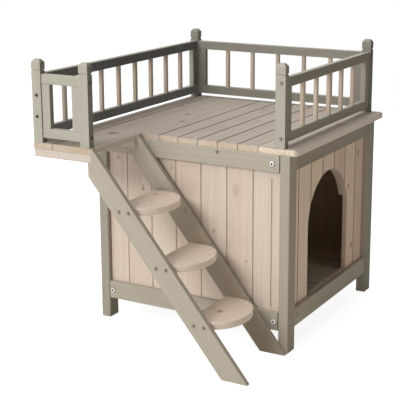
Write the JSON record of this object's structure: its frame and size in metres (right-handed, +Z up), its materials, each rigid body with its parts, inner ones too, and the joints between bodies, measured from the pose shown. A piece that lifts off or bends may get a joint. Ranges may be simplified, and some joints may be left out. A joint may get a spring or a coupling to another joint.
{
  "type": "pet house",
  "caption": "Free-standing two-level wooden pet house: a boarded cabin with an arched doorway, a railed deck on its roof and an open stair up to a landing.",
  "frame": {"origin": "on the ground under the middle of the bounding box", "axes": "+X to the right along the stair's front, towards the doorway's side; +Y from the stair to the back of the house; +Z up"},
  "size_m": [0.6086, 0.7886, 0.715],
  "materials": {
    "grey_stained_wood": "grey stain, matte, eased edges",
    "whitewashed_wood": "thin white wash over knotty softwood, matte",
    "washed_wood": "thin grey-brown wash, matte",
    "natural_wood": "bare softwood, matte",
    "zinc_steel": "zinc plated, satin"
  },
  "bodies": {
    "root": {"back_bottom_rail": "grey_stained_wood", "back_left_leg": "grey_stained_wood", "back_left_post": "grey_stained_wood", "back_railing_balusters": "natural_wood", "back_railing_bottom_rail": "grey_stained_wood", "back_railing_stiles": "grey_stained_wood", "back_railing_top_rail": "grey_stained_wood", "back_right_leg": "grey_stained_wood", "back_right_post": "grey_stained_wood", "back_top_rail": "grey_stained_wood", "back_wall_boards": "whitewashed_wood", "corner_battens": "natural_wood", "deck_battens": "natural_wood", "deck_board_01": "washed_wood", "deck_board_02": "washed_wood", "deck_board_03": "washed_wood", "deck_board_04": "washed_wood", "deck_board_05": "washed_wood", "deck_board_06": "washed_wood", "deck_board_07": "washed_wood", "deck_board_08": "washed_wood", "deck_board_09": "washed_wood", "deck_board_10": "washed_wood", "door_header": "natural_wood", "floor_boards": "natural_wood", "floor_cleats": "natural_wood", "frame_bolts": "zinc_steel", "front_bottom_rail": "grey_stained_wood", "front_left_leg": "grey_stained_wood", "front_right_leg": "grey_stained_wood", "front_right_post": "grey_stained_wood", "front_top_rail": "grey_stained_wood", "front_wall_boards": "whitewashed_wood", "landing_battens": "whitewashed_wood", "landing_left_post": "grey_stained_wood", "landing_railing_bottom_rail": "grey_stained_wood", "landing_railing_stiles": "grey_stained_wood", "landing_railing_top_rail": "grey_stained_wood", "landing_right_post": "grey_stained_wood", "left_bottom_rail": "grey_stained_wood", "left_railing_balusters": "natural_wood", "left_railing_bottom_rail": "grey_stained_wood", "left_railing_stiles": "grey_stained_wood", "left_railing_top_rail": "grey_stained_wood", "left_top_rail": "grey_stained_wood", "left_wall_boards": "whitewashed_wood", "right_bottom_rail": "grey_stained_wood", "right_railing_balusters": "natural_wood", "right_railing_bottom_rail": "grey_stained_wood", "right_railing_stiles": "grey_stained_wood", "right_railing_top_rail": "grey_stained_wood", "right_top_rail": "grey_stained_wood", "right_wall_boards": "whitewashed_wood", "stair_back_stringer": "grey_stained_wood", "stair_front_stringer": "grey_stained_wood", "stair_lower_tread": "washed_wood", "stair_middle_tread": "washed_wood", "stair_upper_tread": "washed_wood", "wood_screws": "zinc_steel"}
  },
  "joints": []
}
